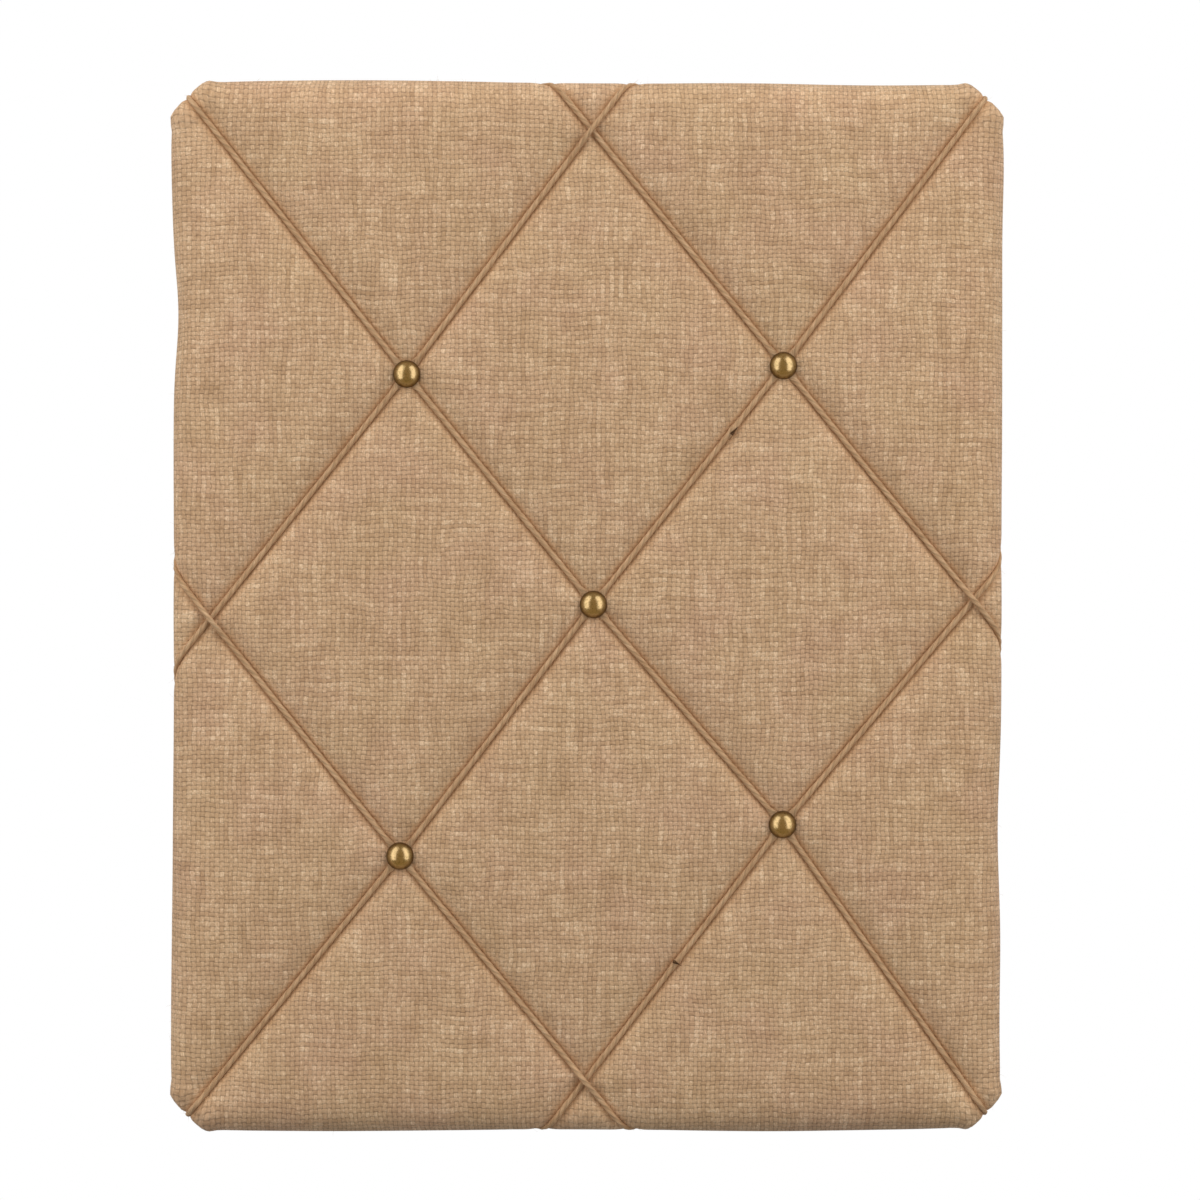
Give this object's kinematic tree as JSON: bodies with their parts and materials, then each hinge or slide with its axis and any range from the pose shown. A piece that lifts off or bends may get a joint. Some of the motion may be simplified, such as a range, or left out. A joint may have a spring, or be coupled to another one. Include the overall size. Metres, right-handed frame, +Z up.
{
  "type": "french memo board",
  "caption": "Padded rectangular memo board covered in jute, with a diamond lattice of cord pinned by domed nails that holds cards and photos; hangs from swinging D rings.",
  "frame": {"origin": "middle of the backing sheet's outer face, the side that lies against the wall", "axes": "+X to the viewer's right, +Z up, +Y from the board into the wall, so that the padded face looks along -Y"},
  "size_m": [0.4, 0.032, 0.505],
  "materials": {
    "jute": "plain woven hessian, matt",
    "jute_cord": "twisted jute cord",
    "wadding": "polyester wadding",
    "fibreboard": "sanded fibreboard",
    "backing": "kraft backing sheet",
    "antique_brass": "antique brass plate, polished on the crown",
    "nickel_plate": "nickel plated steel",
    "staple_wire": "galvanised wire"
  },
  "bodies": {
    "board": {"fibreboard_panel": "fibreboard", "wadding": "wadding", "jute_cover": "jute", "backing_sheet": "backing", "cord_long_falling": "jute_cord", "cord_long_rising": "jute_cord", "cord_top_to_left": "jute_cord", "cord_top_to_right": "jute_cord", "cord_bottom_to_left": "jute_cord", "cord_bottom_to_right": "jute_cord", "nail_upper_left": "antique_brass", "nail_upper_right": "antique_brass", "nail_centre": "antique_brass", "nail_lower_left": "antique_brass", "nail_lower_right": "antique_brass", "cord_long_falling_staple_1": "staple_wire", "cord_long_falling_staple_2": "staple_wire", "cord_long_rising_staple_1": "staple_wire", "cord_long_rising_staple_2": "staple_wire", "cord_top_to_left_staple_1": "staple_wire", "cord_top_to_left_staple_2": "staple_wire", "cord_top_to_right_staple_1": "staple_wire", "cord_top_to_right_staple_2": "staple_wire", "cord_bottom_to_left_staple_1": "staple_wire", "cord_bottom_to_left_staple_2": "staple_wire", "cord_bottom_to_right_staple_1": "staple_wire", "cord_bottom_to_right_staple_2": "staple_wire", "left_hanger_strap": "nickel_plate", "right_hanger_strap": "nickel_plate", "left_hanger_screw_upper": "nickel_plate", "left_hanger_screw_lower": "nickel_plate", "right_hanger_screw_upper": "nickel_plate", "right_hanger_screw_lower": "nickel_plate"},
    "left_ring": {"left_d_ring": "nickel_plate"},
    "right_ring": {"right_d_ring": "nickel_plate"}
  },
  "joints": [
    {"name": "left_ring_swing", "type": "hinge", "parent": "board", "child": "left_ring", "pos_m": [-0.178, 0.00145, 0.15], "axis": [1, 0, 0], "range_deg": [0, 174]},
    {"name": "right_ring_swing", "type": "hinge", "parent": "board", "child": "right_ring", "pos_m": [0.178, 0.00145, 0.15], "axis": [1, 0, 0], "range_deg": [0, 174]}
  ]
}
